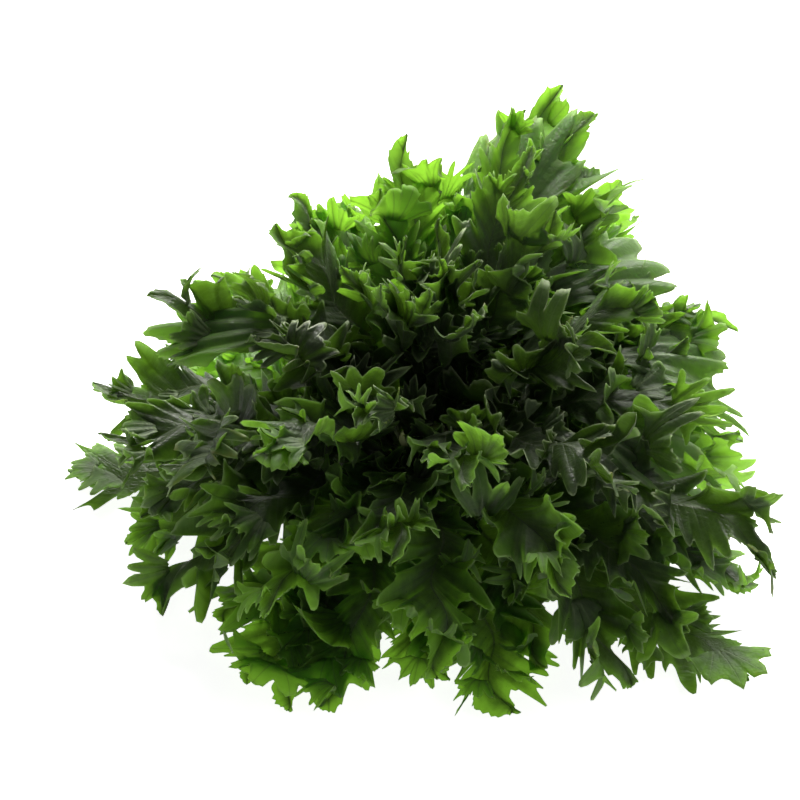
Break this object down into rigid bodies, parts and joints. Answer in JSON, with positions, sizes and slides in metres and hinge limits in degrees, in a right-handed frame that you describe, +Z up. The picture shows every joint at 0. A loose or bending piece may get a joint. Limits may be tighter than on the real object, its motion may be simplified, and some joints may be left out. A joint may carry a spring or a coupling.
{
  "type": "curly endive head",
  "caption": "Loose rosette of green leaves with cut, curled lobes round a short pale stem, resting on the cut stem.",
  "frame": {"origin": "centre of the stem's cut face, on the surface that the head rests on", "axes": "+Z up along the stem, -Y towards the side where the leaves spread in a wide skirt, +X to the right of it"},
  "size_m": [0.3395, 0.3536, 0.1533],
  "materials": {
    "leaf": "satin green leaf, darker inside the head and light yellow-green at the lobes",
    "heart": "satin young leaf, a little lighter green, paler at its foot",
    "stem": "moist pale cut stem, slightly browned at the cut"
  },
  "bodies": {
    "root": {"stem": "stem", "leaf_01": "leaf", "leaf_02": "leaf", "leaf_03": "leaf", "leaf_04": "leaf", "leaf_05": "leaf", "leaf_06": "leaf", "leaf_07": "leaf", "leaf_08": "leaf", "leaf_09": "leaf", "leaf_10": "leaf", "leaf_11": "leaf", "leaf_12": "leaf", "leaf_13": "leaf", "leaf_14": "leaf", "leaf_15": "leaf", "leaf_16": "leaf", "leaf_17": "leaf", "leaf_18": "leaf", "leaf_19": "leaf", "leaf_20": "leaf", "leaf_21": "leaf", "leaf_22": "leaf", "leaf_23": "leaf", "leaf_24": "leaf", "leaf_25": "leaf", "leaf_26": "leaf", "leaf_27": "leaf", "leaf_28": "leaf", "leaf_29": "leaf", "leaf_30": "leaf", "leaf_31": "leaf", "leaf_32": "leaf", "leaf_33": "leaf", "leaf_34": "leaf", "leaf_35": "leaf", "leaf_36": "leaf", "leaf_37": "leaf", "leaf_38": "leaf", "leaf_39": "leaf", "leaf_40": "leaf", "leaf_41": "leaf", "leaf_42": "leaf", "leaf_43": "leaf", "leaf_44": "leaf", "leaf_45": "leaf", "leaf_46": "leaf", "leaf_47": "leaf", "leaf_48": "leaf", "heart": "heart"}
  },
  "joints": []
}
